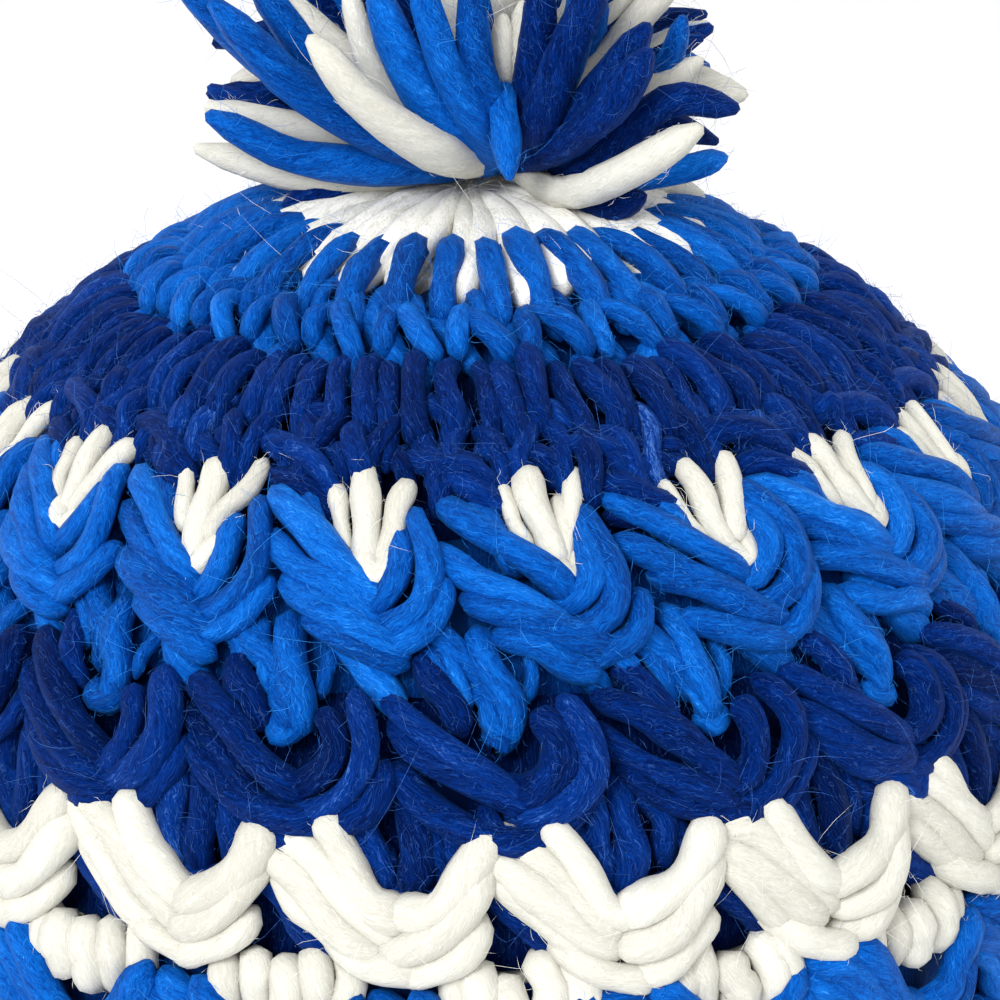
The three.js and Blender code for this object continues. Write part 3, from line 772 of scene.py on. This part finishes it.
def make_navy_shells():
    """Navy cups round the blue posts, the navy posts between them, and the navy ground behind the
    holes of the zigzag."""
    surface = Surface()
    wall(surface, top=112, bottom=135.4)
    wall(surface, top=135.2, bottom=152.6, outer=-3.8)
    crochet(surface, NAVY_SHELL, MOTIFS, NAVY_DRIFT, haze=240, loose=SHELL_LOOSENESS)
    crochet(surface, GROUND_STRAND, 2 * MOTIFS, drift=0.0, haze=20, down=SHELL_PITCH)
    crochet(surface, GROUND_STRAND, 2 * MOTIFS, drift=0.5, haze=10, down=1.5 * SHELL_PITCH)
    surface.piece("navy_shells", NAVY, "navy_shell_row")


def make_white_zigzag():
    """Ivory zigzag: strands that slope down to a valley, knuckles that climb out of it, and the
    posts under the holes."""
    surface = Surface()
    wall(surface, top=152.4, bottom=155.2, outer=-4.8)
    crochet(surface, ZIGZAG_SHELL, MOTIFS, ZIGZAG_DRIFT, haze=140, sides=ROUND_SIDES)
    surface.piece("white_zigzag", IVORY, "white_zigzag_row")


def make_lower_blue_shells():
    """Bright blue shells under the zigzag, worked to the zigzag's chart one pitch further down."""
    surface = Surface()
    wall(surface, top=155, bottom=177)
    crochet(surface, ZIGZAG_SHELL, MOTIFS, LOWER_DRIFT, haze=60, down=SHELL_PITCH)
    surface.piece("lower_blue_shells", BRIGHT_BLUE, "lower_blue_row")


def make_lower_navy_row():
    """Plain navy posts above the brim."""
    surface = Surface()
    wall(surface, top=176.8, bottom=197)
    crochet(surface, PLAIN_POST, PLAIN_POSTS, drift=0.0, haze=14)
    surface.piece("lower_navy_stitches", NAVY, "lower_navy_row")


def make_brim():
    """Upright ribs, every second one bowed forward and the others back by the root of a half sine,
    closed by a line of chain at the rim whose loops bow out by a half sine."""
    surface = Surface()
    wall(surface, top=196.8, bottom=RIM - 0.6, outer=-2)
    top, bottom = 195.5, RIM - 4.2
    for side, forward in ((0, 0.9), (1, -0.9)):
        count, rings = BRIM_RIBS // 2, 13
        turn = 2 * np.arange(count)[:, None] + side + random.normal(0, 0.06, (count, 1))
        along = np.linspace(0, 1, rings)[None]
        azimuth = turn * np.pi / count + 0.012 * along + wander(count, rings, 0.004)
        distance = top + along * (bottom - top)
        lift = forward * np.sin(np.pi * along) ** 0.5 - 0.6 + wander(count, rings, 0.15)
        radii = 3.1 * random.normal(1, 0.05, (count, 1)) * taper(rings)[None]
        paths, normals = dome(azimuth, distance, lift), dome_normal(azimuth, distance)
        tubes(surface, paths, normals, radii, YARN_SIDES, random.normal(0, 1, count), ridge=0.022)
        fuzz(surface, paths, normals, radii, haze=400)
    count, rings = RIM_LOOPS, 14
    along = np.linspace(0, 1, rings)[None]
    azimuth = (np.arange(count)[:, None] + 1.45 * along) * 2 * np.pi / count
    distance = RIM - 3.4 + 1.0 * np.cos(np.pi * along) + np.zeros((count, 1))
    lift = -1.6 + 3.0 * np.sin(np.pi * along) + np.zeros((count, 1))
    radii = 2.3 * random.normal(1, 0.03, (count, 1)) * taper(rings)[None]
    paths, normals = dome(azimuth, distance, lift), dome_normal(azimuth, distance)
    tubes(surface, paths, normals, radii, YARN_SIDES, random.normal(0, 1, count), ridge=0.02)
    surface.piece("brim_ribs", BRIGHT_BLUE, "brim")


# Pompom: the strands that can be told apart in the photo. Each is a radius and three places, near
# the knot, at the middle and at the tip, in millimetres to the right of the knot, towards the
# viewer and up
KNOT = np.array([5.0, 0.0, 163.0])
POMPOM_STRANDS = {
    "bright_blue_wool": [
        (3.2, (-16, 12, 2), (-32, 14, 4), (-46, 16, 11)),
        (3.0, (-14, 14, 5), (-33, 18, 17), (-51, 22, 34)),
        (3.1, (-14, 14, 5), (-30, 22, 15), (-44, 26, 30)),
        (2.8, (-14, 10, 6), (-27, 13, 16), (-39, 16, 33)),
        (3.2, (-5, 15, 5), (-13, 22, 16), (-20, 26, 33)), (3.0, (-2, 16, 6), (-8, 24, 18), (-13, 28, 34)),
        (2.9, (0, 15, 8), (-4, 22, 19), (-5, 26, 34)), (2.5, (0, 16, 14), (0.3, 24, 10), (1, 27, 3)),
        (2.0, (14, 8, 10), (25, 12, 18), (28, 14, 26)), (2.3, (12, 10, -1), (28, 14, 2), (35, 14, 4)),
        (2.6, (6, 14, 9), (11, 20, 22), (12, 22, 33)),
    ],
    "navy_wool": [
        (2.9, (-12, 8, 7), (-24, 10, 19), (-36, 12, 31)), (3.1, (9, 16, 6), (15, 22, 16), (22, 24, 26)),
        (3.2, (5, 18, 9), (9, 24, 21), (15, 26, 34)), (3.0, (3, 14, 10), (5, 20, 22), (6, 22, 34)),
        (2.9, (13, 16, 3), (25, 22, 14), (36, 22, 13)), (2.6, (9, 14, -2), (16, 18, -3), (22, 20, -1)),
        (3.0, (8, 18, 6), (16, 27, 14), (22, 30, 23)), (2.4, (-16, 5, 3), (-32, 4, 7), (-47, 2, 13)),
        (2.4, (-13, 6, 0), (-26, 8, -3), (-35, 8, -5)),
    ],
    "ivory_wool": [
        (3.0, (-8, 20, 5), (-20, 28, 14), (-29, 30, 25)), (2.7, (-15, 6, 3), (-30, 8, 7), (-47, 8, 11)),
        (2.9, (-15, 7, 0), (-31, 8, 0), (-49, 6, 4)), (2.8, (-14, 8, 10), (-27, 12, 22), (-40, 12, 33)),
        (2.0, (1, 12, 12), (0, 18, 20), (0, 20, 27)), (2.1, (3, 12, 12), (3, 18, 21), (3, 20, 29)),
        (2.9, (9, 18, -1), (19, 26, 4), (30, 28, 11)), (2.7, (12, 0, -3), (23, -8, -6), (33, -10, -7)),
        (2.6, (11, 8, 6), (21, 12, 13), (31, 12, 19)), (2.6, (10, 6, 12), (20, 10, 24), (28, 12, 33)),
        (2.2, (-12, 14, 8), (-20, 18, 18), (-24, 20, 32)),
    ],
}
POMPOM_RINGS = 13
TIP_RINGS = 4
POMPOM_SIDES = 9
POMPOM_CLEARANCE = 2.4  # of the strands' middles over the crown, and 0.6 of their radius more
FILL_STRANDS = 160
FILL_SHARES = {"bright_blue_wool": 0.40, "navy_wool": 0.33, "ivory_wool": 0.27}
GOLDEN_ANGLE = np.pi * (3 - np.sqrt(5))
CROWN_SIDE = OUTLINE[:1200]  # the part of the outline that widens on the way down


def fill_strands():
    """Colours, radii and places of the strands that fill the pompom. Each is turned by the golden
    angle from the last and rises a little above it, from a lowest height that is higher over the
    crown's bare front than elsewhere. Those to the left are longer, and the lower a strand lies
    the more it bows up and sags at its tip."""
    index = np.arange(FILL_STRANDS)
    azimuth = index * GOLDEN_ANGLE + random.normal(0, 0.1, FILL_STRANDS)
    front = np.maximum(np.cos(azimuth), 0)
    lowest = np.sin(np.radians(5 + 62 * np.sqrt(front)))
    height = lowest + (index + 0.5) / FILL_STRANDS * (1 - lowest)
    level = np.sqrt(1 - height**2)
    heading = np.stack([np.sin(azimuth) * level, np.cos(azimuth) * level, height], axis=1)
    length = random.uniform(41, 47, (FILL_STRANDS, 1)) * (1 - 0.13 * heading[:, :1])
    rise = np.array([0, 0, 1.0])
    near = heading * 0.3 * length + rise * 3 * level[:, None]
    middle = heading * 0.65 * length + rise * 4 * level[:, None]
    tip = heading * length - rise * 2 * level[:, None]
    places = np.stack([near, middle, tip], axis=1)
    places[:, 1:] += random.normal(0, 1.6, (FILL_STRANDS, 2, 3))
    colours = random.choice(len(FILL_SHARES), FILL_STRANDS, p=list(FILL_SHARES.values()))
    return colours, random.uniform(2.1, 3.2, FILL_STRANDS), places


def make_pompom():
    """Strands that leave one knot on the crown and spread over it, thickest in their outer half,
    with rounded frayed tips."""
    colours, fill_radii, fill_places = fill_strands()
    materials = {"bright_blue_wool": BRIGHT_BLUE, "navy_wool": NAVY, "ivory_wool": IVORY}
    along = np.linspace(0, 1, POMPOM_RINGS)
    form = np.interp(along, [0, 0.12, 0.4, 0.8, 0.94, 1], [0.45, 0.7, 1, 0.98, 0.75, 0.35])
    for colour, (slot, shown) in enumerate(POMPOM_STRANDS.items()):
        mine = colours == colour
        radius = np.concatenate([[row[0] for row in shown], fill_radii[mine]])
        places = np.concatenate([np.array([row[1:] for row in shown], float), fill_places[mine]])
        count = len(radius)
        roots = random.normal(0, 1.5, (count, 1, 3)) * np.array([1, 1, 0.3])
        paths = catmull(np.concatenate([roots, places * np.array([1, -1, 1])], axis=1), POMPOM_RINGS)
        paths += KNOT
        radii = radius[:, None] * form[None] * (1 + wander(count, POMPOM_RINGS, 0.07, 4))
        outward = np.hypot(paths[..., 0], paths[..., 1])
        crown = np.interp(outward, CROWN_SIDE[:, 0], CROWN_SIDE[:, 1])
        paths[..., 2] = np.maximum(paths[..., 2], crown + POMPOM_CLEARANCE + 0.6 * radii)
        normals = np.broadcast_to(np.array([0.3, -0.8, 0.5]), paths.shape)
        surface = Surface()
        tubes(surface, paths, normals, radii, POMPOM_SIDES, random.normal(0, 1, count), RIDGE)
        fuzz(surface, paths, normals, radii, haze=25 * count)
        tip = np.s_[:, -TIP_RINGS:]
        fuzz(surface, paths[tip], normals[tip], radii[tip], haze=10 * count, size=1.2)
        name = f"pompom_{slot.removesuffix('_wool')}_strands"
        surface.piece(name, materials[slot], "pompom")


def make_stage():
    """Pale floor, even white surroundings and two soft lamps that face the hat."""
    half = 12.0
    mesh = bpy.data.meshes.new("floor")
    mesh.from_pydata([(-half, -half, 0), (half, -half, 0), (half, half, 0), (-half, half, 0)],
                     [], [(0, 1, 2, 3)])
    floor = bpy.data.objects.new("floor", mesh)
    bpy.context.scene.collection.objects.link(floor)
    paint = bpy.data.materials.new("pale_floor")
    paint.use_nodes = True
    shader = paint.node_tree.nodes["Principled BSDF"]
    shader.inputs["Base Color"].default_value = (0.93, 0.93, 0.93, 1)
    shader.inputs["Roughness"].default_value = 0.9
    shader.inputs["Specular IOR Level"].default_value = 0.1
    mesh.materials.append(paint)
    world = bpy.data.worlds.new("studio")
    world.use_nodes = True
    world.node_tree.nodes["Background"].inputs["Color"].default_value = (1, 1, 1, 1)
    world.node_tree.nodes["Background"].inputs["Strength"].default_value = 1.0
    bpy.context.scene.world = world
    middle_of_hat = np.array([0, 0, 0.12])
    for name, place, power, width in (
        ("key_lamp", (-0.6, -1.2, 0.9), 19, 0.6), ("fill_lamp", (1.1, -1.1, 0.6), 3, 1.2),
    ):
        lamp = bpy.data.lights.new(name, "AREA")
        lamp.energy, lamp.size = power, width
        light = bpy.data.objects.new(name, lamp)
        bpy.context.scene.collection.objects.link(light)
        light.location = place
        aim = middle_of_hat - np.array(place)
        tilt = np.arctan2(np.hypot(aim[0], aim[1]), -aim[2])
        light.rotation_euler = (tilt, 0, np.arctan2(aim[1], aim[0]) - np.pi / 2)


def make_camera():
    """The photo's close view from the front and a little above."""
    looking_down = 16.7
    camera = bpy.data.objects.new("camera", bpy.data.cameras.new("camera"))
    bpy.context.scene.collection.objects.link(camera)
    camera.data.lens = 36 * 3.09  # the sensor's width times the focal length in widths
    camera.data.clip_start = 0.01
    camera.location = (0.0045, -0.495, 0.255)
    camera.rotation_euler = (np.radians(90 - looking_down), 0, 0)
    bpy.context.scene.camera = camera
    bpy.context.scene.view_settings.view_transform = "Standard"


make_camera()
make_stage()
make_crown()
make_upper_blue_row()
make_upper_navy_row()
make_white_tufts()
make_blue_shells()
make_navy_shells()
make_white_zigzag()
make_lower_blue_shells()
make_lower_navy_row()
make_brim()
make_pompom()
